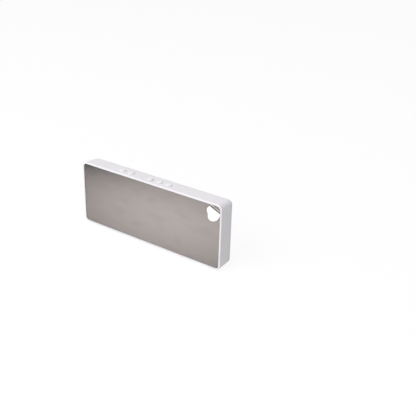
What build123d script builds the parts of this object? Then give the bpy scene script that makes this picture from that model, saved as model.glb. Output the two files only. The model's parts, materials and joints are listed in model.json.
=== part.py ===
from build123d import *
from math import hypot, radians, sqrt, tan
import os

os.makedirs("parts", exist_ok=True)

# A mirror-faced digital desk clock, in millimetres with +Z up. The face looks along -Y, and the
# origin lies under the middle of the clock, on the surface that it stands on. Depths are counted
# back from the front of the rim, and places on the face from the middle of the face.

# Case
case_width = 160.0
case_height = 62.0
corner_radius = 5.2
draft_angle = 3.0
front_edge_radius = 0.8
back_edge_radius = 3.6
back_band = 0.2  # straight wall between the parting line and the rounded back edge
seam_chamfer = 0.25  # round the back of the front case, where it meets the cover
wall = 1.8
rim_width = 1.55
ledge_width = 5.4
ledge_thickness = 1.2
lip_thickness = 0.9
lip_reach = 1.2
foot_length = 18.0
foot_depth = 11.6
foot_height = 0.8
foot_corner = 3.0
foot_spacing = 112.0
foot_setback = 3.1
foot_edge_radius = 0.3

# Clearances
seat_gap = 0.1  # beside fixed pieces that drop into each other
slide_gap = 0.15  # beside pieces that move
bore_gap = 0.05  # round screws, pins and plungers in their holes

# Mirror window, its tape and the film over it
mirror_recess = 0.6
mirror_thickness = 1.2
tape_thickness = 0.2
tape_width = 3.6
film_inset = 0.3
film_thickness = 0.12
fold_gap = 0.06
fold_run = 11.0  # from the corner of the mirror along its top edge
fold_drop = 4.6  # from the corner of the mirror down its side
fold_trim = 0.6
tab_thickness = 0.22
tab_setback = 1.55  # from the fold to the straight edge of the tab
tab_lobe_radius = 4.8
tab_lobe_along = 4.4  # along the fold, from its upper end
tab_lobe_below = 4.95
tab_body_length = 14.6
tab_body_width = 9.9
tab_body_turn = 68.0  # degrees from the fold to the length of the body
tab_body_along = 7.75
tab_body_below = 6.5

# Display
diffuser_thickness = 0.2
reflector_depth = 2.5
digit_margin = 3.2  # above and below the digits
digit_end_margin = 10.0  # beside the outer digits
digit_gap = 7.0  # between the digits of a pair
colon_space = 13.0
segment_width = 4.4
segment_gap = 0.7
segment_flare = 14.0  # degrees that the well of a segment opens towards the mirror
dot_radius = 2.2
dot_spacing = 14.0
indicator_radius = 1.8
indicator_spacing = 11.0
indicator_margin = 5.0
led_length = 2.0
led_width = 1.25
led_height = 0.8

# Main board and what stands on it
board_thickness = 1.0
board_gap = 0.4
standoff_radius = 2.0
standoff_spacing = 104.0
board_screw_radius = 0.85
board_screw_head_radius = 1.8
board_screw_head_height = 1.1
board_screw_length = 3.4
buzzer_radius = 6.0
buzzer_height = 5.5
buzzer_port_radius = 1.2
buzzer_port_depth = 1.0
sound_hole_radius = 0.9
sound_hole_circle = 3.4
sound_hole_count = 6
chip_length = 18.0
chip_width = 7.5
chip_height = 2.2
lead_count = 14
lead_pitch = 1.27
lead_width = 0.45
lead_reach = 1.4
lead_thickness = 0.3
chip_lift = 0.1
chip_drop = 19.0  # below the middle of the face
crystal_radius = 1.0
crystal_length = 6.0
capacitor_radius = 2.5
capacitor_height = 6.5
crystal_rise = 12.0  # above the middle of the face
part_spacing = 5.0  # between the battery bay and the pieces beside it

# Keys along the top
key_radius = 3.0
key_rise = 1.0
key_dome = 0.25
key_edge_radius = 0.45
key_flange_overlap = 0.4
key_flange_thickness = 0.8
key_travel = 0.5
key_depth = 6.8
first_key = -35.5
key_pitch = 10.5
key_break = 22.5  # from the second key to the third
stem_radius = 1.2
stem_length = 1.1
switch_width = 6.0
switch_height = 3.6
switch_depth = 3.5
plunger_width = 2.4
plunger_depth = 1.5
plunger_rise = 1.0
plunger_hold = 1.0  # length of plunger inside the switch

# Batteries, their bay and its door
cell_diameter = 10.5
cell_length = 44.5
cell_nipple_radius = 1.9
cell_nipple_length = 1.2
cell_edge_radius = 0.5
cell_count = 3
cell_spacing = 0.3
bay_clearance = 0.2
bay_wall = 1.2
bay_floor = 1.0
bay_gap = 0.3  # between the board and the bay
bay_rib_width = 1.0
bay_rib_height = 2.0
contact_thickness = 0.3
contact_width = 7.0
contact_depth = 8.0
leaf_room = 5.0
leaf_width = 5.0
leaf_foot = 1.0
leaf_half = 3.2  # from the cell's axis to the foot of the leaf
tail_width = 2.0
tail_length = 2.6
wire_radius = 0.6
wire_run = 8.0
wire_bend = 3.6
door_thickness = 1.4
door_gap = 0.2
door_corner = 1.2
tongue_width = 7.0
tongue_spacing = 32.0
tongue_length = 1.2
tongue_thickness = 0.8
tongue_skin = 0.7  # case wall that covers the tongue
tongue_room = 3.6
latch_width = 10.0
latch_length = 3.4
latch_thickness = 0.8
latch_ridge = 0.3
latch_drop = 0.5  # keeps the latch clear of the case as the door swings
grip_count = 3
grip_pitch = 1.6
grip_width = 0.7
grip_depth = 0.35
grip_length = 12.0
scoop_radius = 6.0
scoop_depth = 1.0
scoop_length = 13.0

# Power inlet
usb_width = 7.5
usb_height = 2.6
usb_length = 5.5
usb_sheet = 0.3
usb_chamfer = 0.8
usb_tongue_width = 4.6
usb_tongue_height = 0.5
usb_tongue_length = 3.4
usb_drop = 15.0  # below the middle of the face
usb_pocket_width = 11.0
usb_pocket_height = 6.4
usb_pocket_depth = 0.9
usb_pocket_corner = 1.6
usb_gap = 0.3
power_board_width = 16.0
power_board_length = 8.6
power_board_thickness = 1.0
rail_grip = 1.0
rail_wall = 1.2
rail_length = 6.0
header_pins = 4
header_pitch = 2.54
header_size = 2.5
pin_size = 0.64
pin_hole_radius = 0.55

# Case screws
screw_radius = 1.1
screw_length = 8.0
screw_head_radius = 2.0
screw_head_height = 1.5
screw_slot_width = 0.6
screw_slot_length = 2.6
screw_slot_depth = 0.8
boss_inset = 9.0
boss_wall = 1.3
post_floor = 1.4

# Depths worked out from front to back
mirror_back = mirror_recess + mirror_thickness
ledge_front = mirror_back + tape_thickness
ledge_back = ledge_front + ledge_thickness
diffuser_front = mirror_back + seat_gap
reflector_front = diffuser_front + diffuser_thickness
board_front = reflector_front + reflector_depth
board_back = board_front + board_thickness
bay_front = board_back + bay_gap
bay_floor_back = bay_front + bay_floor
cell_axis_depth = bay_floor_back + seat_gap + cell_diameter / 2
door_front = cell_axis_depth + cell_diameter / 2 + seat_gap
case_depth = door_front + door_thickness
parting_depth = case_depth - back_edge_radius - back_band
back_wall_front = case_depth - wall
switch_axis_depth = board_back + switch_depth / 2
film_front = mirror_recess - film_thickness
flap_back = film_front - fold_gap
tab_back = flap_back - film_thickness

# Widths and heights worked out from the outside in
middle_height = foot_height + case_height / 2


def inset_at(depth):
    """How far the drafted walls have come in at a depth."""
    return depth * tan(radians(draft_angle))


back_width = case_width - 2 * inset_at(case_depth)
back_height = case_height - 2 * inset_at(case_depth)
back_corner = corner_radius - inset_at(case_depth)
recess_width = case_width - 2 * rim_width
recess_height = case_height - 2 * rim_width
recess_corner = corner_radius - rim_width
mirror_width = recess_width - 2 * slide_gap
mirror_height = recess_height - 2 * slide_gap
mirror_corner = recess_corner - slide_gap
cavity_width = case_width - 2 * (inset_at(parting_depth) + wall)
cavity_height = case_height - 2 * (inset_at(parting_depth) + wall)
cavity_corner = corner_radius - inset_at(parting_depth) - wall
lip_width = cavity_width - 2 * seat_gap
lip_height = cavity_height - 2 * seat_gap
lip_corner = cavity_corner - seat_gap
hollow_width = lip_width - 2 * lip_thickness
hollow_height = lip_height - 2 * lip_thickness
hollow_corner = lip_corner - lip_thickness
boss_radius = screw_radius + bore_gap + boss_wall
boss_x = case_width / 2 - boss_inset
boss_z = case_height / 2 - boss_inset
window_inset = rim_width + ledge_width
window_width = case_width - 2 * window_inset
window_height = case_height - 2 * window_inset
window_corner = (boss_inset + boss_radius - window_inset) / (1 - 1 / sqrt(2))
reflector_width = window_width - 2 * seat_gap
reflector_height = window_height - 2 * seat_gap
reflector_corner = window_corner - seat_gap
board_width = cavity_width - 2 * board_gap
board_height = cavity_height - 2 * board_gap
standoff_z = window_height / 2 + slide_gap + standoff_radius
head_seat_depth = parting_depth + post_floor
post_radius = screw_head_radius + bore_gap + boss_wall

# Keys and switches, from the top wall down
key_hole_radius = key_radius + slide_gap
key_flange_radius = key_hole_radius + key_flange_overlap
key_places = [first_key, first_key + key_pitch]
key_places += [key_places[1] + key_break + key_pitch * step for step in range(3)]
key_names = ["mode", "set", "up", "down", "snooze"]
key_flange_top = middle_height + cavity_height / 2 - bore_gap
key_stem_end = key_flange_top - key_flange_thickness - stem_length
key_top = middle_height + case_height / 2 - inset_at(key_depth) + key_rise
switch_top = key_stem_end - plunger_rise
key_row_top = key_flange_top - key_flange_thickness - key_travel - board_gap

# Battery bay and door
cell_pitch = cell_diameter + cell_spacing
bay_length = cell_length + contact_thickness + leaf_room + 2 * seat_gap
bay_height = cell_count * cell_diameter + (cell_count - 1) * cell_spacing + 2 * bay_clearance
bay_outer_length = bay_length + 2 * bay_wall
bay_outer_height = bay_height + 2 * bay_wall
door_length = bay_outer_length
door_height = bay_outer_height
bay_room_top = switch_top - switch_height - middle_height
bay_room_bottom = tongue_room - hollow_height / 2
bay_z = (bay_room_top + bay_room_bottom) / 2
top_row = bay_z + (cell_count - 1) / 2 * cell_pitch
cell_rows = [top_row - cell_pitch * row for row in range(cell_count)]

# Pieces beside the bay
usb_x = bay_outer_length / 2 + part_spacing + power_board_width / 2
usb_z = -usb_drop
power_board_top = usb_z - usb_height / 2
power_board_middle = power_board_top - power_board_thickness / 2
power_board_back = back_wall_front - seat_gap
usb_mouth_depth = case_depth - usb_pocket_depth
header_z = power_board_top + header_size / 2
header_front = power_board_back - power_board_length
buzzer_x = -(bay_outer_length / 2 + part_spacing + buzzer_radius)
chip_x = -(bay_outer_length / 2 + part_spacing + chip_length / 2)
capacitor_x = bay_outer_length / 2 + part_spacing + capacitor_radius
contact_back = cell_axis_depth + contact_depth / 2
tail_depth = contact_back - contact_thickness / 2

# Display digits
digit_height = reflector_height - 2 * digit_margin
digit_width = (reflector_width - 2 * digit_end_margin - colon_space - 2 * digit_gap) / 4
inner_digit = (colon_space + digit_width) / 2
outer_digit = inner_digit + digit_width + digit_gap

# Folded corner of the film
fold_length = hypot(fold_run, fold_drop)
fold_start = (mirror_width / 2 - fold_run, mirror_height / 2)
fold_end = (mirror_width / 2, mirror_height / 2 - fold_drop)
film_corner = mirror_corner - film_inset


def face_plane(depth):
    """A plane at a depth behind the rim, facing the viewer, with its origin at the face's middle."""
    origin = (0, depth - case_depth / 2, middle_height)
    return Plane(origin=origin, x_dir=(1, 0, 0), z_dir=(0, -1, 0))


def level_plane(height):
    """A level plane at a height, with its origin under the front edge of the rim."""
    return Plane(origin=(0, -case_depth / 2, height), x_dir=(1, 0, 0), z_dir=(0, 0, 1))


def fold_plane(depth):
    """A face plane with its origin at the upper end of the film's fold and its X along the fold."""
    origin = (fold_start[0], depth - case_depth / 2, middle_height + fold_start[1])
    return Plane(origin=origin, x_dir=(fold_run, 0, -fold_drop), z_dir=(0, -1, 0))


def end_plane(x, depth, height, side):
    """A plane across the clock's width, facing its left (-1) or right (1) end."""
    origin = (x, depth - case_depth / 2, middle_height + height)
    return Plane(origin=origin, x_dir=(0, 1, 0), z_dir=(side, 0, 0))


def keep(piece, name):
    """Label a finished piece and write it."""
    piece.part.label = name
    export_step(piece.part, f"parts/{name}.step")


# Outside of the closed case: drafted walls, a soft front edge and a rounded back edge
with BuildPart() as closed_case:
    with BuildSketch(face_plane(case_depth)):
        RectangleRounded(back_width, back_height, back_corner)
    extrude(amount=case_depth, taper=-draft_angle)
    fillet(closed_case.faces().sort_by(Axis.Y)[0].edges(), front_edge_radius)
    fillet(closed_case.faces().sort_by(Axis.Y)[-1].edges(), back_edge_radius)

# Front case: rim, ledge for the mirror, side walls, screw bosses and board standoffs
with BuildPart() as front_case:
    add(closed_case.part)
    split(bisect_by=face_plane(parting_depth), keep=Keep.TOP)
    chamfer(front_case.faces().sort_by(Axis.Y)[-1].edges(), seam_chamfer)
    with BuildSketch(face_plane(ledge_front)):
        RectangleRounded(recess_width, recess_height, recess_corner)
    extrude(amount=ledge_front, mode=Mode.SUBTRACT)
    with BuildSketch(face_plane(ledge_back)):
        RectangleRounded(window_width, window_height, window_corner)
    extrude(amount=ledge_thickness, mode=Mode.SUBTRACT)
    with BuildSketch(face_plane(parting_depth)):
        RectangleRounded(cavity_width, cavity_height, cavity_corner)
    extrude(amount=parting_depth - ledge_back, mode=Mode.SUBTRACT)
    with BuildSketch(face_plane(parting_depth)):
        with GridLocations(2 * boss_x, 2 * boss_z, 2, 2):
            Circle(boss_radius)
    extrude(amount=parting_depth - ledge_back)
    with BuildSketch(face_plane(board_front)):
        with GridLocations(standoff_spacing, 2 * standoff_z, 2, 2):
            Circle(standoff_radius)
    extrude(amount=board_front - ledge_back)
    with BuildSketch(face_plane(parting_depth)):
        with GridLocations(2 * boss_x, 2 * boss_z, 2, 2):
            Circle(screw_radius + bore_gap)
    extrude(amount=screw_length, mode=Mode.SUBTRACT)
    with BuildSketch(face_plane(board_front)):
        with GridLocations(standoff_spacing, 2 * standoff_z, 2, 2):
            Circle(board_screw_radius + bore_gap)
    extrude(amount=board_screw_length - board_thickness + bore_gap, mode=Mode.SUBTRACT)
    with BuildSketch(level_plane(middle_height + case_height / 2)):
        with Locations([(x, key_depth) for x in key_places]):
            Circle(key_hole_radius)
    extrude(amount=-(case_height - cavity_height) / 2, mode=Mode.SUBTRACT)
keep(front_case, "front_case")

# Rear cover: rounded lid with a lip, screw posts, battery bay, board rails, inlet and sound holes
tail_places = [(1, cell_rows[0]), (-1, cell_rows[-1])]
with BuildPart() as rear_cover:
    add(closed_case.part)
    split(bisect_by=face_plane(parting_depth), keep=Keep.BOTTOM)
    with BuildSketch(face_plane(parting_depth)):
        RectangleRounded(lip_width, lip_height, lip_corner)
    extrude(amount=lip_reach)
    with BuildSketch(face_plane(back_wall_front)):
        RectangleRounded(hollow_width, hollow_height, hollow_corner)
    extrude(amount=back_wall_front - parting_depth + lip_reach, mode=Mode.SUBTRACT)
    with BuildSketch(face_plane(back_wall_front)):
        with GridLocations(2 * boss_x, 2 * boss_z, 2, 2):
            Circle(post_radius)
    extrude(amount=back_wall_front - parting_depth)
    with BuildSketch(face_plane(back_wall_front)):
        with Locations((0, bay_z)):
            Rectangle(bay_outer_length, bay_outer_height)
    extrude(amount=back_wall_front - bay_front)
    with BuildSketch(face_plane(case_depth)):
        with Locations((0, bay_z)):
            Rectangle(bay_length, bay_height)
    extrude(amount=case_depth - bay_floor_back, mode=Mode.SUBTRACT)
    with BuildSketch(face_plane(bay_floor_back)):
        with Locations([(0, row - cell_pitch / 2) for row in cell_rows[:-1]]):
            Rectangle(cell_length - 2 * leaf_room, bay_rib_width)
    extrude(amount=-bay_rib_height)
    with BuildSketch(face_plane(back_wall_front)):
        with Locations((usb_x, power_board_middle)):
            with GridLocations(power_board_width + rail_wall - rail_grip, 0, 2, 1):
                Rectangle(rail_wall + rail_grip, power_board_thickness + 2 * rail_wall)
    extrude(amount=rail_length)
    with BuildSketch(face_plane(back_wall_front)):
        with Locations((usb_x, power_board_middle)):
            Rectangle(power_board_width + 2 * bore_gap, power_board_thickness + 2 * bore_gap)
    extrude(amount=rail_length, mode=Mode.SUBTRACT)
    with BuildSketch(face_plane(case_depth)):
        with Locations((0, bay_z)):
            RectangleRounded(door_length + 2 * door_gap, door_height + 2 * door_gap, door_corner)
    extrude(amount=door_thickness, mode=Mode.SUBTRACT)
    with BuildSketch(face_plane(case_depth - tongue_skin)):
        with Locations((0, bay_z - door_height / 2)):
            with GridLocations(tongue_spacing, 0, 2, 1):
                Rectangle(tongue_width + 2 * door_gap, 2 * tongue_room)
    extrude(amount=tongue_room, mode=Mode.SUBTRACT)
    with BuildSketch(face_plane(door_front)):
        with Locations((0, bay_z + (bay_height + bay_wall) / 2)):
            Rectangle(latch_width + 2 * door_gap, bay_wall)
    extrude(amount=latch_length + door_gap, mode=Mode.SUBTRACT)
    scoop_z = bay_z + door_height / 2 + door_gap
    with BuildSketch(end_plane(-scoop_length / 2, case_depth - scoop_depth, scoop_z, 1)):
        with Locations((scoop_radius, 0)):
            Circle(scoop_radius)
    extrude(amount=scoop_length, mode=Mode.SUBTRACT)
    with BuildSketch(face_plane(case_depth)):
        with GridLocations(2 * boss_x, 2 * boss_z, 2, 2):
            Circle(screw_head_radius + slide_gap)
    extrude(amount=case_depth - head_seat_depth, mode=Mode.SUBTRACT)
    with BuildSketch(face_plane(case_depth)):
        with GridLocations(2 * boss_x, 2 * boss_z, 2, 2):
            Circle(screw_radius + slide_gap)
        with Locations((buzzer_x, 0)):
            Circle(sound_hole_radius)
            with PolarLocations(sound_hole_circle, sound_hole_count):
                Circle(sound_hole_radius)
    extrude(amount=case_depth - parting_depth, mode=Mode.SUBTRACT)
    with BuildSketch(face_plane(case_depth)):
        with Locations((usb_x, usb_z)):
            RectangleRounded(usb_pocket_width, usb_pocket_height, usb_pocket_corner)
    extrude(amount=usb_pocket_depth, mode=Mode.SUBTRACT)
    with BuildSketch(face_plane(case_depth)):
        with Locations((usb_x, usb_z)):
            Rectangle(usb_width + 2 * usb_gap, usb_height + 2 * usb_gap)
    extrude(amount=wall, mode=Mode.SUBTRACT)
    for side, row in tail_places:
        with BuildSketch(face_plane(contact_back + bore_gap)):
            with Locations((side * (bay_length + bay_wall) / 2, row)):
                Rectangle(bay_wall, tail_width + 2 * bore_gap)
        extrude(amount=contact_thickness + 2 * bore_gap, mode=Mode.SUBTRACT)
keep(rear_cover, "rear_cover")

# Case screws, sunk in the rear cover's posts and driven into the front case's bosses
with BuildPart() as case_screws:
    with BuildSketch(face_plane(head_seat_depth)):
        with GridLocations(2 * boss_x, 2 * boss_z, 2, 2):
            Circle(screw_radius)
    extrude(amount=screw_length)
    with BuildSketch(face_plane(head_seat_depth)):
        with GridLocations(2 * boss_x, 2 * boss_z, 2, 2):
            Circle(screw_head_radius)
    extrude(amount=-screw_head_height)
    with BuildSketch(face_plane(head_seat_depth + screw_head_height)):
        with GridLocations(2 * boss_x, 2 * boss_z, 2, 2):
            Rectangle(screw_slot_length, screw_slot_width)
            Rectangle(screw_slot_width, screw_slot_length)
    extrude(amount=screw_slot_depth, mode=Mode.SUBTRACT)
keep(case_screws, "case_screws")

# Feet, shaped to the drafted underside
for name, side in (("left", -1), ("right", 1)):
    with BuildPart() as foot:
        with BuildSketch(level_plane(0)):
            with Locations((side * foot_spacing / 2, foot_setback + foot_depth / 2)):
                RectangleRounded(foot_length, foot_depth, foot_corner)
        extrude(amount=foot_height + inset_at(case_depth))
        fillet(foot.faces().sort_by(Axis.Z)[0].edges(), foot_edge_radius)
        add(closed_case.part, mode=Mode.SUBTRACT)
    keep(foot, f"{name}_foot")

# Mirror window and the tape frame behind its edge
with BuildPart() as mirror_panel:
    with BuildSketch(face_plane(mirror_back)):
        RectangleRounded(mirror_width, mirror_height, mirror_corner)
    extrude(amount=mirror_thickness)
keep(mirror_panel, "mirror_panel")

with BuildPart() as mirror_tape:
    with BuildSketch(face_plane(ledge_front)):
        RectangleRounded(mirror_width, mirror_height, mirror_corner)
        Rectangle(mirror_width - 2 * tape_width, mirror_height - 2 * tape_width, mode=Mode.SUBTRACT)
    extrude(amount=tape_thickness)
keep(mirror_tape, "mirror_tape")

# Clear film over the mirror, with one corner folded back under a white pull tab
with BuildPart() as protective_film:
    with BuildSketch(face_plane(mirror_recess)):
        RectangleRounded(mirror_width - 2 * film_inset, mirror_height - 2 * film_inset, film_corner)
        with BuildLine():
            Polyline(fold_start, (fold_end[0], fold_start[1]), fold_end, close=True)
        make_face(mode=Mode.SUBTRACT)
    extrude(amount=film_thickness)
keep(protective_film, "protective_film")

with BuildPart() as film_corner_flap:
    with BuildSketch(fold_plane(flap_back)) as flap_outline:
        with BuildLine():
            Polyline(
                (fold_trim, -fold_gap),
                (fold_length - fold_trim, -fold_gap),
                (fold_run**2 / fold_length, -fold_run * fold_drop / fold_length),
                close=True,
            )
        make_face()
        fillet(flap_outline.vertices().sort_by(Axis.Y)[0], film_corner / 2)
    extrude(amount=film_thickness)
keep(film_corner_flap, "film_corner_flap")

with BuildPart() as film_pull_tab:
    with BuildSketch(fold_plane(tab_back)):
        with Locations((tab_lobe_along, -tab_lobe_below)):
            Circle(tab_lobe_radius)
        with Locations((tab_body_along, -tab_body_below)):
            Ellipse(tab_body_length / 2, tab_body_width / 2, rotation=tab_body_turn)
        with Locations((tab_body_along, -tab_setback)):
            above_edge = (Align.CENTER, Align.MIN)
            Rectangle(2 * tab_body_length, tab_body_length, align=above_edge, mode=Mode.SUBTRACT)
    extrude(amount=tab_thickness)
keep(film_pull_tab, "film_pull_tab")

# Display: wells for four digits, a colon and three indicators, under a diffuser sheet
bar_rise = (digit_height - segment_width) / 2
bar_reach = (digit_width - segment_width) / 2
level_length = 2 * (bar_reach - segment_gap)
upright_length = bar_rise - 2 * segment_gap
digit_places = [-outer_digit, -inner_digit, inner_digit, outer_digit]
level_bars = [(x, bar_rise * step) for x in digit_places for step in (-1, 0, 1)]
upright_columns = [x + side * bar_reach for x in digit_places for side in (-1, 1)]
upright_bars = [(x, side * bar_rise / 2) for x in upright_columns for side in (-1, 1)]
dots = [(0, side * dot_spacing / 2) for side in (-1, 1)]
indicators = [(indicator_margin - reflector_width / 2, indicator_spacing * step) for step in (-1, 0, 1)]


def bar_outline(length):
    """Corner points of the upper half of a six-sided display segment, then of its lower half."""
    tip = length / 2
    half = segment_width / 2
    upper = [(-tip, 0), (half - tip, half), (tip - half, half)]
    return upper + [(-x, -z) for x, z in upper]


with BuildPart() as led_reflector:
    with BuildSketch(face_plane(board_front)):
        RectangleRounded(reflector_width, reflector_height, reflector_corner)
    extrude(amount=reflector_depth)
    with BuildSketch(face_plane(reflector_front)):
        with Locations(level_bars):
            Polygon(*bar_outline(level_length))
        with Locations(upright_bars):
            Polygon(*bar_outline(upright_length), rotation=90)
        with Locations(dots):
            Circle(dot_radius)
        with Locations(indicators):
            Circle(indicator_radius)
    extrude(amount=-reflector_depth, taper=segment_flare, mode=Mode.SUBTRACT)
keep(led_reflector, "led_reflector")

with BuildPart() as segment_diffuser:
    with BuildSketch(face_plane(reflector_front)):
        RectangleRounded(reflector_width, reflector_height, reflector_corner)
    extrude(amount=diffuser_thickness)
keep(segment_diffuser, "segment_diffuser")

with BuildPart() as segment_leds:
    with BuildSketch(face_plane(board_front)):
        with Locations([(x + side * level_length / 4, z) for x, z in level_bars for side in (-1, 1)]):
            Rectangle(led_length, led_width)
        with Locations([(x, z + side * upright_length / 4) for x, z in upright_bars for side in (-1, 1)]):
            Rectangle(led_width, led_length)
        with Locations(dots):
            Rectangle(led_length, led_width)
        with Locations(indicators):
            Rectangle(led_width, led_width)
    extrude(amount=led_height)
keep(segment_leds, "segment_leds")

# Main board, with its corners cut clear of the screw bosses and its edge lowered under the keys
first_pin = usb_x - header_pitch * (header_pins - 1) / 2
pin_places = [(first_pin + header_pitch * step, header_z) for step in range(header_pins)]
corner_cut_x = board_width / 2 - boss_x + boss_radius + board_gap
corner_cut_z = board_height / 2 - boss_z + boss_radius + board_gap
key_row_margin = key_flange_radius + board_gap
key_row_length = key_places[-1] - key_places[0] + 2 * key_row_margin
with BuildPart() as main_board:
    with BuildSketch(face_plane(board_back)):
        Rectangle(board_width, board_height)
        with GridLocations(board_width - corner_cut_x, board_height - corner_cut_z, 2, 2):
            Rectangle(corner_cut_x, corner_cut_z, mode=Mode.SUBTRACT)
        with Locations((key_places[0] - key_row_margin, key_row_top - middle_height)):
            Rectangle(key_row_length, board_height, align=Align.MIN, mode=Mode.SUBTRACT)
        with GridLocations(standoff_spacing, 2 * standoff_z, 2, 2):
            Circle(board_screw_radius + bore_gap, mode=Mode.SUBTRACT)
        with Locations(pin_places):
            Circle(pin_hole_radius, mode=Mode.SUBTRACT)
    extrude(amount=board_thickness)
keep(main_board, "main_board")

with BuildPart() as board_screws:
    with BuildSketch(face_plane(board_back)):
        with GridLocations(standoff_spacing, 2 * standoff_z, 2, 2):
            Circle(board_screw_radius)
    extrude(amount=board_screw_length)
    with BuildSketch(face_plane(board_back)):
        with GridLocations(standoff_spacing, 2 * standoff_z, 2, 2):
            Circle(board_screw_head_radius)
    extrude(amount=-board_screw_head_height)
keep(board_screws, "board_screws")

# Pieces on the back of the main board
with BuildPart() as buzzer:
    with BuildSketch(face_plane(board_back)):
        with Locations((buzzer_x, 0)):
            Circle(buzzer_radius)
    extrude(amount=-buzzer_height)
    with BuildSketch(face_plane(board_back + buzzer_height)):
        with Locations((buzzer_x, 0)):
            Circle(buzzer_port_radius)
    extrude(amount=buzzer_port_depth, mode=Mode.SUBTRACT)
keep(buzzer, "buzzer")

with BuildPart() as controller_chip:
    with BuildSketch(face_plane(board_back + chip_lift)):
        with Locations((chip_x, -chip_drop)):
            Rectangle(chip_length, chip_width)
    extrude(amount=-chip_height)
    with BuildSketch(face_plane(board_back)):
        with Locations((chip_x, -chip_drop)):
            with GridLocations(lead_pitch, chip_width + lead_reach - lead_thickness, lead_count, 2):
                Rectangle(lead_width, lead_reach + lead_thickness)
    extrude(amount=-lead_thickness)
keep(controller_chip, "controller_chip")

with BuildPart() as clock_crystal:
    crystal_depth = board_back + crystal_radius + bore_gap
    with BuildSketch(end_plane(buzzer_x - crystal_length / 2, crystal_depth, crystal_rise, 1)):
        Circle(crystal_radius)
    extrude(amount=crystal_length)
keep(clock_crystal, "clock_crystal")

with BuildPart() as supply_capacitor:
    with BuildSketch(face_plane(board_back)):
        with Locations((capacitor_x, 0)):
            Circle(capacitor_radius)
    extrude(amount=-capacitor_height)
keep(supply_capacitor, "supply_capacitor")

# Keys in the top wall, each on the plunger of a switch at the edge of the main board
key_side_height = key_top - key_dome - key_flange_top
key_dome_radius = (key_radius**2 + key_dome**2) / (2 * key_dome)
for name, x in zip(key_names, key_places):
    key_foot = (x, key_depth - case_depth / 2, key_flange_top)
    with BuildPart() as key:
        with BuildSketch(Plane(origin=key_foot, x_dir=(1, 0, 0), z_dir=(0, -1, 0))) as key_profile:
            with BuildLine():
                Polyline(
                    (0, key_side_height + key_dome),
                    (0, -key_flange_thickness),
                    (key_flange_radius, -key_flange_thickness),
                    (key_flange_radius, 0),
                    (key_radius, 0),
                    (key_radius, key_side_height),
                )
                RadiusArc((key_radius, key_side_height), (0, key_side_height + key_dome), -key_dome_radius)
            make_face()
            shoulder = (key_radius, key_side_height)
            fillet(key_profile.vertices().sort_by_distance(shoulder)[0], key_edge_radius)
        revolve(axis=Axis(key_foot, (0, 0, 1)))
        with BuildSketch(level_plane(key_stem_end)):
            with Locations((x, switch_axis_depth)):
                Circle(stem_radius)
        extrude(amount=stem_length)
    keep(key, f"{name}_button")
    with BuildPart() as plunger:
        with BuildSketch(level_plane(key_stem_end)):
            with Locations((x, switch_axis_depth)):
                Rectangle(plunger_width, plunger_depth)
        extrude(amount=-(plunger_rise + plunger_hold))
    keep(plunger, f"{name}_switch_plunger")

with BuildPart() as tact_switches:
    with BuildSketch(level_plane(switch_top)):
        with Locations([(x, switch_axis_depth) for x in key_places]):
            Rectangle(switch_width, switch_depth)
    extrude(amount=-switch_height)
    with BuildSketch(level_plane(switch_top)):
        with Locations([(x, switch_axis_depth) for x in key_places]):
            Rectangle(plunger_width + 2 * bore_gap, plunger_depth + 2 * bore_gap)
    extrude(amount=-(plunger_hold + key_travel + bore_gap), mode=Mode.SUBTRACT)
keep(tact_switches, "tact_switches")

# Cells, head to tail between sheet contacts with sprung leaves
for index, row in enumerate(cell_rows):
    side = 1 - 2 * (index % 2)
    tip_x = side * (bay_length / 2 - contact_thickness - seat_gap)
    with BuildPart() as cell:
        with BuildSketch(end_plane(tip_x - side * cell_length, cell_axis_depth, row, side)):
            Circle(cell_diameter / 2)
        extrude(amount=cell_length - cell_nipple_length)
        fillet(cell.edges().filter_by(GeomType.CIRCLE), cell_edge_radius)
        with BuildSketch(end_plane(tip_x - side * cell_nipple_length, cell_axis_depth, row, side)):
            Circle(cell_nipple_radius)
        extrude(amount=cell_nipple_length)
    keep(cell, f"battery_cell_{index + 1}")


def battery_contact(name, side, leaf_rows, flat_rows, tail_row=None):
    """A sheet contact on one end wall of the bay: leaves press on minus ends, flats meet plus ends."""
    rows = leaf_rows + flat_rows
    wall_x = side * bay_length / 2
    sheet_x = wall_x - side * contact_thickness / 2
    with BuildPart() as contact:
        with BuildSketch(face_plane(contact_back)):
            with Locations((sheet_x, (max(rows) + min(rows)) / 2)):
                Rectangle(contact_thickness, max(rows) - min(rows) + contact_width)
        extrude(amount=contact_depth)
        for row in leaf_rows:
            with BuildSketch(level_plane(middle_height + row - leaf_width / 2)):
                with BuildLine():
                    Polyline(
                        (sheet_x, cell_axis_depth - leaf_half),
                        (wall_x - side * (leaf_room - contact_thickness), cell_axis_depth),
                        (wall_x - side * leaf_foot, cell_axis_depth + leaf_half),
                    )
                trace(line_width=contact_thickness)
            extrude(amount=leaf_width)
        if tail_row is not None:
            with BuildSketch(face_plane(contact_back)):
                with Locations((wall_x + side * tail_length / 2, tail_row)):
                    Rectangle(tail_length, tail_width)
            extrude(amount=contact_thickness)
    keep(contact, name)


upper_row, middle_row, lower_row = cell_rows
battery_contact("positive_contact", 1, [], [upper_row], upper_row)
battery_contact("left_contact_bridge", -1, [upper_row], [middle_row])
battery_contact("right_contact_bridge", 1, [middle_row], [lower_row])
battery_contact("negative_contact", -1, [lower_row], [], lower_row)

# Wires from the contacts' tails to the main board
for name, (side, row) in zip(("positive", "negative"), tail_places):
    wire_start = side * (bay_length / 2 + tail_length)
    wire_turn = wire_start + side * wire_run
    with BuildPart() as wire:
        with BuildLine(level_plane(middle_height + row)):
            route = [(wire_start, tail_depth), (wire_turn, tail_depth), (wire_turn, board_back)]
            FilletPolyline(*route, radius=wire_bend)
        with BuildSketch(end_plane(wire_start, tail_depth, row, side)):
            Circle(wire_radius)
        sweep()
    keep(wire, f"{name}_battery_wire")

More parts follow.
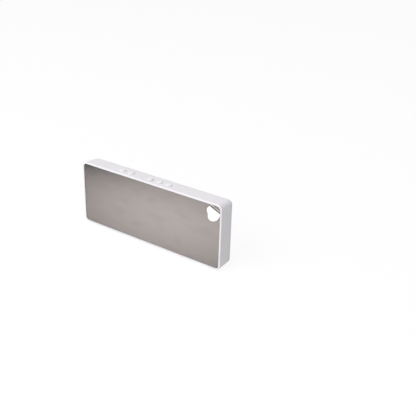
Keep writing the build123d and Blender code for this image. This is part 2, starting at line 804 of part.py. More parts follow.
# Battery door, hinged on two tongues under the case wall and held by a latch at its top
latch_top = bay_z + door_height / 2 - latch_drop
with BuildPart() as battery_door:
    with BuildSketch(face_plane(case_depth)):
        with Locations((0, bay_z)):
            RectangleRounded(door_length, door_height, door_corner)
    extrude(amount=door_thickness)
    with BuildSketch(face_plane(case_depth - tongue_skin - slide_gap)):
        with Locations((0, bay_z - door_height / 2)):
            with GridLocations(tongue_spacing, 0, 2, 1):
                Rectangle(tongue_width, 2 * (tongue_length + door_gap))
    extrude(amount=tongue_thickness)
    with BuildSketch(face_plane(door_front)):
        with Locations((0, latch_top - latch_ridge - latch_thickness / 2)):
            Rectangle(latch_width, latch_thickness)
    extrude(amount=latch_length)
    with BuildSketch(face_plane(door_front - latch_length + latch_thickness)):
        with Locations((0, latch_top - (latch_ridge + latch_thickness) / 2)):
            Rectangle(latch_width, latch_ridge + latch_thickness)
    extrude(amount=latch_thickness)
    with BuildSketch(face_plane(case_depth)):
        with Locations((0, latch_top - grip_pitch * (grip_count + 1) / 2)):
            with GridLocations(0, grip_pitch, 1, grip_count):
                SlotOverall(grip_length, grip_width)
    extrude(amount=grip_depth, mode=Mode.SUBTRACT)
keep(battery_door, "battery_door")

# Power inlet: a socket and a pin header on a small board that slides into the rear cover's rails
with BuildPart() as power_board:
    with BuildSketch(face_plane(power_board_back)):
        with Locations((usb_x, power_board_middle)):
            Rectangle(power_board_width, power_board_thickness)
    extrude(amount=power_board_length)
keep(power_board, "power_board")

with BuildPart() as usb_socket:
    with BuildSketch(face_plane(usb_mouth_depth)) as socket_outline:
        with Locations((usb_x, usb_z)):
            Rectangle(usb_width, usb_height)
        chamfer(socket_outline.vertices().group_by(Axis.Y)[0], usb_chamfer)
    extrude(amount=usb_length)
    offset(amount=-usb_sheet, openings=usb_socket.faces().sort_by(Axis.Y)[-1])
keep(usb_socket, "usb_socket")

with BuildPart() as usb_tongue:
    with BuildSketch(face_plane(usb_mouth_depth - usb_length + usb_sheet)):
        with Locations((usb_x, usb_z + usb_tongue_height)):
            Rectangle(usb_tongue_width, usb_tongue_height)
    extrude(amount=-usb_tongue_length)
keep(usb_tongue, "usb_tongue")

with BuildPart() as board_header:
    with BuildSketch(face_plane(header_front + header_size)):
        with Locations((usb_x, header_z)):
            Rectangle(header_pins * header_pitch, header_size)
    extrude(amount=header_size)
    with BuildSketch(face_plane(header_front)):
        with Locations(pin_places):
            Rectangle(pin_size, pin_size)
    extrude(amount=header_front - board_front - bore_gap)
keep(board_header, "board_header")
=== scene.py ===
import json
from math import ceil, cos, pi, radians, sin

import bmesh
import bpy
from bpy.props import FloatProperty, FloatVectorProperty, IntProperty, PointerProperty
from mathutils import Matrix, Vector


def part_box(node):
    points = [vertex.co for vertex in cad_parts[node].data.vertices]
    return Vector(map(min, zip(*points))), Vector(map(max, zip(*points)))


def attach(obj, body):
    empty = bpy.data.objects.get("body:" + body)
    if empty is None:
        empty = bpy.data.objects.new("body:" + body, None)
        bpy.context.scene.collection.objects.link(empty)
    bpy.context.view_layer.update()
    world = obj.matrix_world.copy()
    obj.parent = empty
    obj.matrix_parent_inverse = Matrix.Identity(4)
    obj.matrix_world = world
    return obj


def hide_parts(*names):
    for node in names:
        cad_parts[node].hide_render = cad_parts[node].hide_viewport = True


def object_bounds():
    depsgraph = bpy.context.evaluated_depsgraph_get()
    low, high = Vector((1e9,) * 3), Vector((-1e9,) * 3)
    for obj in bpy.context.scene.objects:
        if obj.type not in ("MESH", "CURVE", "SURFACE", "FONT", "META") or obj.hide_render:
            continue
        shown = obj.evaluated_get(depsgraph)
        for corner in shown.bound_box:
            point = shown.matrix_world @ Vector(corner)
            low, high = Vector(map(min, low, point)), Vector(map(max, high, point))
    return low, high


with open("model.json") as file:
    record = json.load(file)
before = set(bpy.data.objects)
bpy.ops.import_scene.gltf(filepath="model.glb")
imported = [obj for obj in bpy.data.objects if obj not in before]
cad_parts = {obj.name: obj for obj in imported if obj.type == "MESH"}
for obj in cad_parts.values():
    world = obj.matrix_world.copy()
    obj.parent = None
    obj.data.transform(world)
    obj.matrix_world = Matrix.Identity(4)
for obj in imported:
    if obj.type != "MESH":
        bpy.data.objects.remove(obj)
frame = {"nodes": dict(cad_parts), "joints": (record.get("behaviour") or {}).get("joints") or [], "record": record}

bl_info = {
    "name": "Mirror Desk Clock",
    "version": (1, 0, 0),
    "blender": (4, 5, 0),
    "location": "View3D > Sidebar > Clock",
    "description": "Dresses a mirror-faced desk clock: finishes, face film, pull tab, cells and stage",
    "category": "Object",
}

CAD_LOW, CAD_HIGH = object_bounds()
MILLIMETRE = 0.001
SMOOTH_ANGLE = radians(35)
# Metres within which two places count as one.
SAME_PLACE = 1e-6
# Cosine past which a face counts as square to an axis.
SQUARE_ON = 0.99


def colour(name, description, default):
    """A colour property, as linear red, green and blue."""
    return FloatVectorProperty(
        name=name, description=description, default=default, subtype="COLOR", size=3, min=0, max=1
    )


def length(name, description, millimetres):
    """A length property with its default given in millimetres."""
    return FloatProperty(
        name=name, description=description, default=millimetres * MILLIMETRE, unit="LENGTH", precision=5
    )


def angle(name, description, degrees):
    """An angle property with its default given in degrees."""
    return FloatProperty(name=name, description=description, default=radians(degrees), subtype="ANGLE")


def share(name, description, default):
    """A property for a share of a whole, from 0 to 1."""
    return FloatProperty(name=name, description=description, default=default, subtype="FACTOR", min=0, max=1)


class ClockFinishes(bpy.types.PropertyGroup):
    """Colours of the clock's finishes."""

    case: colour("Case", "Moulded white of the case and the battery door", (0.80, 0.780, 0.812))
    keys: colour("Keys", "Moulded white of the keys", (0.83, 0.815, 0.835))
    mirror: colour("Mirror", "Tint of the half-silvered window", (0.442, 0.3965, 0.380))
    smoke: colour("Window edge", "Smoked body of the window, bare on its bevel", (0.045, 0.042, 0.040))
    film: colour("Film", "Haze of the clear face film", (0.86, 0.84, 0.82))
    # The adhesive's dark amber tone is partly the film's own adhesive and partly painted shade along the pull
    # tab's edge.
    adhesive: colour("Adhesive", "Tacky side of the film's folded corner", (0.27, 0.185, 0.115))
    tab: colour("Tab", "Coated paper of the pull tab", (0.90, 0.90, 0.90))
    rubber: colour("Feet", "Soft pads under the case", (0.50, 0.50, 0.51))
    board: colour("Boards", "Solder mask of the circuit boards", (0.012, 0.11, 0.045))
    trace: colour("Traces", "Copper tracks under the solder mask", (0.03, 0.20, 0.075))
    steel: colour("Plated steel", "Nickel on the socket, contacts, crystal and cell ends", (0.62, 0.60, 0.56))
    screws: colour("Screws", "Zinc on the screws", (0.42, 0.42, 0.43))
    gold: colour("Gold", "Gold flash on the socket's strips", (0.83, 0.56, 0.20))
    sleeve: colour("Sleeves", "Shrunk sleeves of the cells and the capacitor", (0.022, 0.026, 0.034))
    band: colour("Cell band", "Band round the plus end of the cells", (0.50, 0.21, 0.075))
    black: colour("Black", "Chip, buzzer, switches, header, tape and minus wire", (0.018, 0.018, 0.019))
    lens: colour("LED lens", "Clear lens over the LED's white cup", (0.85, 0.80, 0.55))
    milky: colour("Milky mouldings", "Diffuser, reflector and switch plungers", (0.80, 0.80, 0.79))
    red_wire: colour("Plus wire", "Insulation of the plus wire", (0.36, 0.012, 0.010))


class ClockSizes(bpy.types.PropertyGroup):
    """Sizes of the pieces modelled here, in the frame's metres."""

    mirror_edge: length("Mirror edge", "Polished bevel round the mirror's front", 0.26)
    film_spacing: length("Film mesh", "Spacing of the points in the film", 2.2)
    film_wave: length("Film wave", "How far the film lifts off the mirror", 0.03)
    film_wave_size: length("Film wave size", "Width of the film's waves", 26.0)
    film_body: length("Film thickness", "Thickness of the film", 0.04)
    tab_spacing: length("Tab mesh", "Spacing of the points in the tab", 0.5)
    tab_droop: length("Tab droop", "How far the tab's lobes relax towards the film", 0.12)
    tab_body: length("Tab thickness", "Thickness of the tab", 0.14)
    crease_radius: length("Crease", "Radius of the film's rolled fold", 0.26)
    nub_recess: length("Plus recess", "Depth of the ring round a cell's plus nub", 0.35)
    cell_rim: length("Cell rim", "Width of the sleeve's turned edge on a cell", 0.75)
    band_width: length("Band", "Width of the band at a cell's plus end", 9.0)
    groove_place: length("Groove place", "From a cell's minus end to its crimp groove", 1.9)
    groove_depth: length("Groove depth", "Depth of a cell's crimp groove", 0.22)
    strip_width: length("Strip width", "Width of a gold strip in the socket", 0.36)
    strip_height: length("Strip height", "Height of a gold strip in the socket", 0.12)
    strip_count: IntProperty(name="Strips", description="Gold strips in the socket", default=5, min=1)


class ClockStage(bpy.types.PropertyGroup):
    """Camera, lights and floor."""

    azimuth: angle("Azimuth", "Camera's turn round the clock, from straight in front", 34.914)
    elevation: angle("Elevation", "Camera's height above the horizon", 25.065)
    roll: angle("Roll", "Camera's turn about its own axis", 1.764)
    distance: length("Distance", "From the clock's front bottom edge to the camera, along its view", 629.68)
    aside: length("Aside", "How far right of the clock the picture's middle lies", 55.126)
    above: length("Above", "How far above the clock's bottom edge the picture's middle lies", 33.262)
    lens: FloatProperty(
        name="Lens", description="Focal length for a 36 mm picture", default=59.2555, unit="CAMERA"
    )
    floor_size: length("Floor", "Side of the square floor", 12000.0)
    floor_colour: colour("Floor colour", "Pale floor", (0.86, 0.86, 0.86))
    floor_glow: share("Floor glow", "Share of plain white that the camera sees in the floor", 0.88)
    mirror_glow: share("Mirrored glow", "Share of plain white that the mirror sees in the floor", 0.9)
    # The pool is a painted pool of light on the floor that only the mirror sees; no lamp makes it, and past it the
    # floor is painted dark.
    pool_x: length("Pool right", "How far right of the clock the lit floor's middle lies", -21.0)
    pool_y: length("Pool behind", "How far behind the clock the lit floor's middle lies", -64.5)
    pool_width: length("Pool width", "Half the width of the lit floor", 173.5)
    pool_depth: length("Pool depth", "Half the depth of the lit floor", 94.5)
    pool_turn: angle("Pool turn", "Turn of the lit floor about the clock's upright", 9.3)
    pool_edge: share("Pool edge", "Brightness that the mirror sees past the lit floor", 0.2)
    sky: FloatProperty(
        name="Sky", description="Strength of the even light from all round", default=0.54, min=0
    )
    sky_seen: share("Sky seen", "Share of plain white that is seen past the floor", 0.955)
    key_power: FloatProperty(name="Key light", description="Key light's power", default=30.0, unit="POWER")
    key_size: length("Key size", "Side of the key light", 1500.0)
    key_distance: length("Key distance", "From the clock to the key light", 2000.0)
    key_azimuth: angle("Key azimuth", "Key light's turn round the clock", -16.0)
    key_elevation: angle("Key elevation", "Key light's height above the horizon", 45.0)


def deselect_all():
    """Leave edit mode and select nothing."""
    if bpy.context.mode != "OBJECT":
        bpy.ops.object.mode_set(mode="OBJECT")
    bpy.ops.object.select_all(action="DESELECT")


def make_active(piece):
    """Select one piece alone."""
    deselect_all()
    piece.select_set(True)
    bpy.context.view_layer.objects.active = piece


def edit(piece):
    """Open one piece in edit mode with nothing selected."""
    make_active(piece)
    bpy.ops.object.mode_set(mode="EDIT")
    bpy.ops.mesh.select_all(action="DESELECT")


def select_faces(piece, wanted):
    """Select the faces that the test accepts."""
    bpy.ops.mesh.select_mode(type="FACE")
    mesh = bmesh.from_edit_mesh(piece.data)
    for face in mesh.faces:
        face.select_set(wanted(face))
    bmesh.update_edit_mesh(piece.data)


def select_edges(piece, wanted):
    """Select the edges that the test accepts."""
    bpy.ops.mesh.select_mode(type="EDGE")
    mesh = bmesh.from_edit_mesh(piece.data)
    for edge in mesh.edges:
        edge.select_set(wanted(edge))
    bmesh.update_edit_mesh(piece.data)


def select_points(piece, wanted):
    """Select the points whose place the test accepts."""
    bpy.ops.mesh.select_mode(type="VERT")
    mesh = bmesh.from_edit_mesh(piece.data)
    for point in mesh.verts:
        point.select_set(wanted(point.co))
    mesh.select_flush(True)
    bmesh.update_edit_mesh(piece.data)


def named_primitive(name):
    """Name the primitive that was just added and put its place into its mesh."""
    piece = bpy.context.object
    piece.name = name
    piece.data.name = name
    bpy.ops.object.transform_apply(location=True, rotation=True, scale=True)
    return piece


def apply_modifier(piece, kind, **settings):
    """Add a modifier with its settings and apply it."""
    modifier = piece.modifiers.new(kind.title(), kind)
    for key, value in settings.items():
        setattr(modifier, key, value)
    make_active(piece)
    bpy.ops.object.modifier_apply(modifier=modifier.name)


def smooth(piece):
    """Shade a piece smooth, with its sharp edges kept."""
    make_active(piece)
    bpy.ops.object.shade_smooth_by_angle(angle=SMOOTH_ANGLE)


def seat(piece, body, slot, finish, *nodes):
    """Give a piece its finish and its body, and hide the nodes that it stands for."""
    piece.data.materials.clear()
    piece.data.materials.append(finish)
    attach(piece, body)
    if nodes:
        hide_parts(*nodes)


def sheet_like(name, node, spacing):
    """A flat grid over a node's outline and one spacing past it, half way through its thickness."""
    low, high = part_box(node)
    size = high - low
    deselect_all()
    bpy.ops.mesh.primitive_grid_add(
        x_subdivisions=ceil(size.x / spacing) + 2,
        y_subdivisions=ceil(size.z / spacing) + 2,
        size=1,
        location=(low + high) / 2,
        rotation=(pi / 2, 0, 0),
    )
    bpy.context.object.scale = (size.x + 2 * spacing, size.z + 2 * spacing, 1)
    return named_primitive(name)


def finish_sheet(sheet, node, thickness):
    """Give a sheet its thickness and trim it to its node's outline."""
    apply_modifier(sheet, "SOLIDIFY", thickness=thickness, offset=0)
    cut_to_outline(sheet, node)
    smooth(sheet)


def cut_to_outline(sheet, node):
    """Trim a sheet to a node's outline, with a copy of the node made a millimetre deeper on both sides."""
    make_active(frame["nodes"][node])
    bpy.ops.object.duplicate()
    cutter = bpy.context.object
    low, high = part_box(node)
    deeper = 1 + 2 * MILLIMETRE / (high.y - low.y)
    edit(cutter)
    bpy.ops.mesh.select_all(action="SELECT")
    bpy.ops.mesh.remove_doubles(threshold=SAME_PLACE)
    bpy.ops.transform.resize(value=(1, deeper, 1), center_override=(low + high) / 2)
    apply_modifier(sheet, "BOOLEAN", operation="INTERSECT", object=cutter, solver="EXACT")
    bpy.data.objects.remove(cutter)


def new_group(name, inputs, outputs):
    """An empty shader node group with number inputs, and its two end nodes."""
    group = bpy.data.node_groups.new(name, "ShaderNodeTree")
    for socket, default in inputs.items():
        made = group.interface.new_socket(name=socket, in_out="INPUT", socket_type="NodeSocketFloat")
        made.default_value = default
    for socket in outputs:
        group.interface.new_socket(name=socket, in_out="OUTPUT", socket_type="NodeSocketFloat")
    return group, group.nodes.new("NodeGroupInput"), group.nodes.new("NodeGroupOutput")


def add_node(tree, kind, values=None, **settings):
    """Add a node with its settings and the values of its inputs."""
    node = tree.nodes.new(kind)
    for key, value in settings.items():
        setattr(node, key, value)
    for key, value in (values or {}).items():
        node.inputs[key].default_value = value
    return node


def object_place(tree):
    """The socket that gives a point's place on its object."""
    return add_node(tree, "ShaderNodeTexCoord").outputs["Object"]


def drawn_out_place(tree, squeeze):
    """A point's place on its object, squeezed along X so that patterns are drawn out that way."""
    node = add_node(tree, "ShaderNodeMapping", {"Scale": (squeeze, 1.0, 1.0)})
    tree.links.new(object_place(tree), node.inputs["Vector"])
    return node.outputs["Vector"]


def noise(tree, place, scale, detail):
    """A noise texture over a place, with its scale from a socket."""
    node = add_node(tree, "ShaderNodeTexNoise", {"Detail": detail})
    tree.links.new(place, node.inputs["Vector"])
    tree.links.new(scale, node.inputs["Scale"])
    return node.outputs["Fac"]


def combined(tree, operation, first, second):
    """A math operation on two values, the second of them a number or a socket."""
    node = add_node(tree, "ShaderNodeMath", operation=operation)
    tree.links.new(first, node.inputs[0])
    if isinstance(second, float):
        node.inputs[1].default_value = second
    else:
        tree.links.new(second, node.inputs[1])
    return node.outputs["Value"]


def ranged(tree, value, low, high, start=0.0, stop=1.0, curve="SMOOTHSTEP"):
    """A number that goes from low to high as the value goes from start to stop."""
    node = add_node(tree, "ShaderNodeMapRange", interpolation_type=curve)
    tree.links.new(value, node.inputs["Value"])
    ends = {"From Min": start, "From Max": stop, "To Min": low, "To Max": high}
    for key, end in ends.items():
        node.inputs[key].default_value = end
    return node.outputs["Result"]


def tinted(tree, factor, first, second):
    """A colour between two, by a factor."""
    node = add_node(tree, "ShaderNodeMix", data_type="RGBA")
    tree.links.new(factor, node.inputs["Factor"])
    node.inputs["A"].default_value = (*first, 1)
    node.inputs["B"].default_value = (*second, 1)
    return node.outputs["Result"]


def mixed(tree, factor, first, second):
    """A shader between two, by a factor."""
    node = add_node(tree, "ShaderNodeMixShader")
    tree.links.new(factor, node.inputs["Fac"])
    tree.links.new(first, node.inputs[1])
    tree.links.new(second, node.inputs[2])
    return node.outputs["Shader"]


def surface_group():
    """Node group for mouldings: a fine grain and a slow mottle over the surface."""
    name = "surface_grain"
    if name in bpy.data.node_groups:
        return bpy.data.node_groups[name]
    group, start, end = new_group(name, {"Grain Scale": 3000.0, "Mottle Scale": 60.0}, ("Grain", "Mottle"))
    place = object_place(group)
    grain = noise(group, place, start.outputs["Grain Scale"], detail=3.0)
    group.links.new(grain, end.inputs["Grain"])
    mottle = noise(group, place, start.outputs["Mottle Scale"], detail=4.0)
    group.links.new(ranged(group, mottle, 0.0, 1.0, start=0.3, stop=0.7), end.inputs["Mottle"])
    return group


def smudge_group():
    """Node group for touched surfaces: soft smears, twice as long as they are high."""
    name = "touch_smudges"
    if name in bpy.data.node_groups:
        return bpy.data.node_groups[name]
    group, start, end = new_group(name, {"Smear Scale": 40.0, "Cover": 0.55}, ("Smudge",))
    place = drawn_out_place(group, squeeze=0.5)
    smear = noise(group, place, start.outputs["Smear Scale"], detail=5.0)
    past = combined(group, "SUBTRACT", smear, start.outputs["Cover"])
    group.links.new(ranged(group, past, 0.0, 1.0, stop=0.2), end.inputs["Smudge"])
    return group


def streak_group():
    """Node group for sheet metal: fine lines along the length of the sheet."""
    name = "drawn_streaks"
    if name in bpy.data.node_groups:
        return bpy.data.node_groups[name]
    group, start, end = new_group(name, {"Streak Scale": 400.0}, ("Streak",))
    place = drawn_out_place(group, squeeze=0.06)
    lines = noise(group, place, start.outputs["Streak Scale"], detail=3.0)
    group.links.new(lines, end.inputs["Streak"])
    return group


def new_finish(name):
    """A new material with its node tree and shader."""
    material = bpy.data.materials.new(name)
    material.use_nodes = True
    tree = material.node_tree
    return material, tree, tree.nodes["Principled BSDF"]


def place_group(tree, group, **values):
    """Put a node group into a material with its own values."""
    node = add_node(tree, "ShaderNodeGroup", node_tree=group)
    for key, value in values.items():
        node.inputs[key.replace("_", " ").title()].default_value = value
    return node.outputs


def raise_surface(tree, shader, height, depth):
    """Bump the surface by a height pattern, with its real depth in millimetres."""
    bump = add_node(tree, "ShaderNodeBump", {"Strength": 1.0, "Distance": depth * MILLIMETRE})
    tree.links.new(height, bump.inputs["Height"])
    tree.links.new(bump.outputs["Normal"], shader.inputs["Normal"])


def shade(tone, factor):
    """A colour made darker by a factor."""
    return tuple(part * factor for part in tone)


def moulding(name, tone, roughness, grain=0.3, depth=0.012, variation=0.03):
    """Moulded plastic or rubber, with a spark-eroded grain; the grain and its depth are in millimetres."""
    material, tree, shader = new_finish(name)
    surface = place_group(tree, surface_group(), grain_scale=1 / (grain * MILLIMETRE), mottle_scale=45.0)
    base = tinted(tree, surface["Mottle"], shade(tone, 1 - variation), tone)
    tree.links.new(base, shader.inputs["Base Color"])
    shinier, duller = roughness - 0.06, roughness + 0.06
    rough = ranged(tree, surface["Grain"], shinier, duller, start=0.25, stop=0.75)
    tree.links.new(rough, shader.inputs["Roughness"])
    raise_surface(tree, shader, surface["Grain"], depth)
    return material


def sheet_metal(name, tone, roughness):
    """Plated sheet or turned metal, with drawn streaks and a little tarnish."""
    material, tree, shader = new_finish(name)
    shader.inputs["Metallic"].default_value = 1.0
    streak = place_group(tree, streak_group(), streak_scale=6000.0)["Streak"]
    smudge = place_group(tree, smudge_group(), smear_scale=260.0, cover=0.5)["Smudge"]
    tarnished = shade(tone, 0.8)
    tree.links.new(tinted(tree, smudge, tone, tarnished), shader.inputs["Base Color"])
    shinier, duller = roughness - 0.08, roughness + 0.10
    rough = ranged(tree, streak, shinier, duller, start=0.3, stop=0.7)
    tree.links.new(rough, shader.inputs["Roughness"])
    raise_surface(tree, shader, streak, depth=0.004)
    return material


def half_mirror(tone):
    """Half-silvered window: a tinted mirror with faint smears."""
    material, tree, shader = new_finish("half_mirror")
    shader.inputs["Metallic"].default_value = 1.0
    smudge = place_group(tree, smudge_group(), smear_scale=105.0, cover=0.47)["Smudge"]
    smeared = shade(tone, 0.945)
    tree.links.new(tinted(tree, smudge, tone, smeared), shader.inputs["Base Color"])
    tree.links.new(ranged(tree, smudge, 0.03, 0.05), shader.inputs["Roughness"])
    return material


def clear_film(name, tone, clear, touched, roughness):
    """Clear film, whose alpha goes from clear to touched where it has been handled."""
    material, tree, shader = new_finish(name)
    smudge = place_group(tree, smudge_group(), smear_scale=55.0, cover=0.46)["Smudge"]
    surface = place_group(tree, surface_group(), grain_scale=900.0, mottle_scale=120.0)
    mottled = shade(tone, 0.96)
    tree.links.new(tinted(tree, surface["Mottle"], mottled, tone), shader.inputs["Base Color"])
    tree.links.new(ranged(tree, smudge, clear, touched), shader.inputs["Alpha"])
    duller = roughness + 0.15
    tree.links.new(ranged(tree, smudge, roughness, duller), shader.inputs["Roughness"])
    return material


def coated_paper(tone):
    """Coated paper of the pull tab: white with a faint fibre."""
    material, tree, shader = new_finish("coated_paper")
    surface = place_group(tree, surface_group(), grain_scale=2600.0, mottle_scale=340.0)
    mottled = shade(tone, 0.975)
    tree.links.new(tinted(tree, surface["Mottle"], mottled, tone), shader.inputs["Base Color"])
    rough = ranged(tree, surface["Grain"], 0.42, 0.6, start=0.2, stop=0.8)
    tree.links.new(rough, shader.inputs["Roughness"])
    raise_surface(tree, shader, surface["Grain"], depth=0.006)
    return material


def solder_mask(mask, trace):
    """Circuit board: solder mask with copper tracks showing through."""
    material, tree, shader = new_finish("solder_mask")
    pattern = {"Scale": 160.0, "Mortar Size": 0.06}
    tracks = add_node(tree, "ShaderNodeTexBrick", pattern, offset=0.35, squash=0.6)
    upright = add_node(tree, "ShaderNodeMapping", {"Rotation": (pi / 2, 0, 0)})
    tree.links.new(object_place(tree), upright.inputs["Vector"])
    tree.links.new(upright.outputs["Vector"], tracks.inputs["Vector"])
    tree.links.new(tinted(tree, tracks.outputs["Fac"], mask, trace), shader.inputs["Base Color"])
    surface = place_group(tree, surface_group(), grain_scale=1500.0, mottle_scale=90.0)
    tree.links.new(ranged(tree, surface["Mottle"], 0.22, 0.34), shader.inputs["Roughness"])
    raise_surface(tree, shader, tracks.outputs["Fac"], depth=0.03)
    return material


def led_lens(tone):
    """LED package: a clear lens over a white cup."""
    material, tree, shader = new_finish("led_lens")
    surface = place_group(tree, surface_group(), grain_scale=1200.0, mottle_scale=700.0)
    mottled = shade(tone, 0.9)
    tree.links.new(tinted(tree, surface["Mottle"], mottled, tone), shader.inputs["Base Color"])
    rough = ranged(tree, surface["Grain"], 0.12, 0.22, start=0.2, stop=0.8)
    tree.links.new(rough, shader.inputs["Roughness"])
    return material


def nodes_of(*slots):
    """The CAD nodes that the record gives to these material slots."""
    return [part["node"] for part in frame["record"]["subparts"] if part["material_slot"] in slots]


def dress(finish, *slots):
    """Give a finish to the CAD nodes of these material slots."""
    for node in nodes_of(*slots):
        for slot in frame["nodes"][node].material_slots:
            slot.material = finish


class CLOCK_OT_case_finish(bpy.types.Operator):
    """Finish the case, the battery door, the keys, the feet and the screws"""

    bl_idname = "clock.case_finish"
    bl_label = "Case Finish"

    def execute(self, context):
        finishes = context.scene.clock_finishes
        case = moulding("satin_case", finishes.case, roughness=0.42)
        keys = moulding("satin_keys", finishes.keys, roughness=0.36, grain=0.22, depth=0.006)
        feet = moulding("soft_rubber", finishes.rubber, roughness=0.72, grain=0.4, depth=0.02, variation=0.08)
        dress(case, "white_plastic")
        dress(keys, "key_plastic")
        dress(feet, "foot_rubber")
        dress(sheet_metal("zinc_screws", finishes.screws, roughness=0.36), "screw_steel")
        return {"FINISHED"}


# Steps round a corner of the mirror window, and across its bevel.
CORNER_STEPS = 12
EDGE_STEPS = 3


def mirror_corner():
    """Radius of the mirror's corners, read from where its straight top edge ends."""
    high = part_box("mirror_panel")[1]
    points = [point.co for point in frame["nodes"]["mirror_panel"].data.vertices]
    return high.x - max(place.x for place in points if high.z - place.z < SAME_PLACE)


def rounded_plate(name, low, high, corner, edge):
    """A plate that faces the viewer, with round corners and a bevel round its front."""
    deselect_all()
    bpy.ops.mesh.primitive_cube_add(size=1, location=(low + high) / 2, scale=high - low)
    plate = named_primitive(name)
    edit(plate)
    select_edges(plate, lambda line: abs(line.verts[0].co.y - line.verts[1].co.y) > (high.y - low.y) / 2)
    bpy.ops.mesh.bevel(offset=corner, segments=CORNER_STEPS, affect="EDGES")
    select_edges(plate, lambda line: all(point.co.y - low.y < SAME_PLACE for point in line.verts))
    bpy.ops.mesh.bevel(offset=edge, segments=EDGE_STEPS, affect="EDGES")
    smooth(plate)
    apply_modifier(plate, "WEIGHTED_NORMAL", keep_sharp=True)
    return plate


class CLOCK_OT_mirror_window(bpy.types.Operator):
    """Make the half-silvered window with rounded corners and a polished edge"""

    bl_idname = "clock.mirror_window"
    bl_label = "Mirror Window"

    def execute(self, context):
        finishes = context.scene.clock_finishes
        low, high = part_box("mirror_panel")
        edge = context.scene.clock_sizes.mirror_edge
        window = rounded_plate("mirror_window", low, high, mirror_corner(), edge)
        seat(window, "case", "mirror", half_mirror(finishes.mirror), "mirror_panel")
        window.data.materials.append(moulding("smoked_edge", finishes.smoke, roughness=0.22, depth=0.002))
        for face in window.data.polygons:
            silvered = face.normal.y < -SQUARE_ON
            face.material_index = 0 if silvered else 1
        return {"FINISHED"}


class CLOCK_OT_face_film(bpy.types.Operator):
    """Make the clear film over the mirror, lying in slight waves"""

    bl_idname = "clock.face_film"
    bl_label = "Face Film"

    def execute(self, context):
        sizes = context.scene.clock_sizes
        finishes = context.scene.clock_finishes
        film = sheet_like("face_film", "protective_film", sizes.film_spacing)
        waves = bpy.data.textures.new("film_waves", "CLOUDS")
        waves.noise_scale = sizes.film_wave_size
        waves.noise_depth = 0
        apply_modifier(film, "DISPLACE", texture=waves, texture_coords="GLOBAL", strength=sizes.film_wave)
        finish_sheet(film, "protective_film", sizes.film_body)
        haze = clear_film("clear_film", finishes.film, clear=0.014, touched=0.022, roughness=0.12)
        seat(film, "case", "clear_film", haze, "protective_film")
        return {"FINISHED"}


# Shares of the tab's length: where its full droop starts, and how far the droop fades back from there.
DROOP_START = 0.82
DROOP_FADE = 0.6
# Points round the crease, the share of its length that keeps its width, and the width left at its ends.
CREASE_SIDES = 20
CREASE_EVEN = 0.8
CREASE_TIP = 0.35


def fold_line():
    """The fold's middle and direction, and the way down the tab from it, from the tab's joint."""
    fold = next(joint for joint in frame["joints"] if joint["child"] == "pull_tab")
    along = Vector(fold["axis"]).normalized()
    down = along.cross((0, -1, 0))
    if down.z > 0:
        down.negate()
    return Vector(fold["pos_m"]), along, down


def rolled_crease(name, middle, along, radius):
    """The film's fold: a thin roll along the crease, narrower at both ends."""
    low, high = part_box("film_corner_flap")
    half = (high.x - low.x) / (2 * abs(along.x))
    deselect_all()
    bpy.ops.mesh.primitive_cylinder_add(
        vertices=CREASE_SIDES,
        radius=radius,
        depth=2 * half,
        location=middle,
        rotation=along.to_track_quat("Z", "Y").to_euler(),
    )
    crease = named_primitive(name)
    edit(crease)
    for end in (-1, 1):
        bpy.ops.mesh.select_all(action="SELECT")
        bpy.ops.mesh.bisect(plane_co=middle + end * CREASE_EVEN * half * along, plane_no=along)
    for end in (-1, 1):
        tip = middle + end * half * along
        select_points(crease, lambda place: (place - tip).length < 2 * radius)
        bpy.ops.transform.resize(value=(CREASE_TIP, CREASE_TIP, CREASE_TIP), center_override=tip)
    smooth(crease)
    return crease


def let_droop(tab, middle, down, droop):
    """Let a tab's lobes relax towards the film, more the further they are from the fold."""
    edit(tab)
    reach = max((point.co - middle).dot(down) for point in tab.data.vertices)
    select_points(tab, lambda place: (place - middle).dot(down) > DROOP_START * reach)
    bpy.ops.transform.translate(
        value=(0, droop, 0),
        use_proportional_edit=True,
        proportional_edit_falloff="SMOOTH",
        proportional_size=DROOP_FADE * reach,
    )


class CLOCK_OT_pull_tab(bpy.types.Operator):
    """Make the folded corner of the film, its rolled crease and the white pull tab"""

    bl_idname = "clock.pull_tab"
    bl_label = "Pull Tab"

    def execute(self, context):
        sizes = context.scene.clock_sizes
        finishes = context.scene.clock_finishes
        middle, along, down = fold_line()

        flap = sheet_like("corner_flap", "film_corner_flap", sizes.tab_spacing)
        finish_sheet(flap, "film_corner_flap", sizes.film_body)
        # The flap's dark amber tint is partly the film's adhesive and partly painted shade along the tab's edge.
        adhesive_and_shade = clear_film("adhesive_film_and_shade", finishes.adhesive, clear=0.22, touched=0.36, roughness=0.3)
        seat(flap, "pull_tab", "clear_film", adhesive_and_shade, "film_corner_flap")

        crease = rolled_crease("film_crease", middle, along, sizes.crease_radius)
        # The roll's film is nearly opaque and pale: a painted highlight along the fold.
        crease_highlight = clear_film("crease_painted_highlight", finishes.film, clear=0.75, touched=0.9, roughness=0.3)
        seat(crease, "pull_tab", "clear_film", crease_highlight)

        tab = sheet_like("pull_tab", "film_pull_tab", sizes.tab_spacing)
        let_droop(tab, middle, down, sizes.tab_droop)
        finish_sheet(tab, "film_pull_tab", sizes.tab_body)
        seat(tab, "pull_tab", "tab_paper", coated_paper(finishes.tab), "film_pull_tab")
        return {"FINISHED"}


# Points round a cell, and steps across its rounded ends.
CELL_SIDES = 48
CELL_END_STEPS = 4
# Share of a cell's radius past which a point of its node is on the can and not on the nub.
CAN_SHARE = 0.7
# Rim widths in from a cell's side, past which its end is bare metal.
BARE_FROM = 1.2
# A cell's finishes, by their place in its list of materials; the sleeve is the first.
BAND, BARE = 1, 2


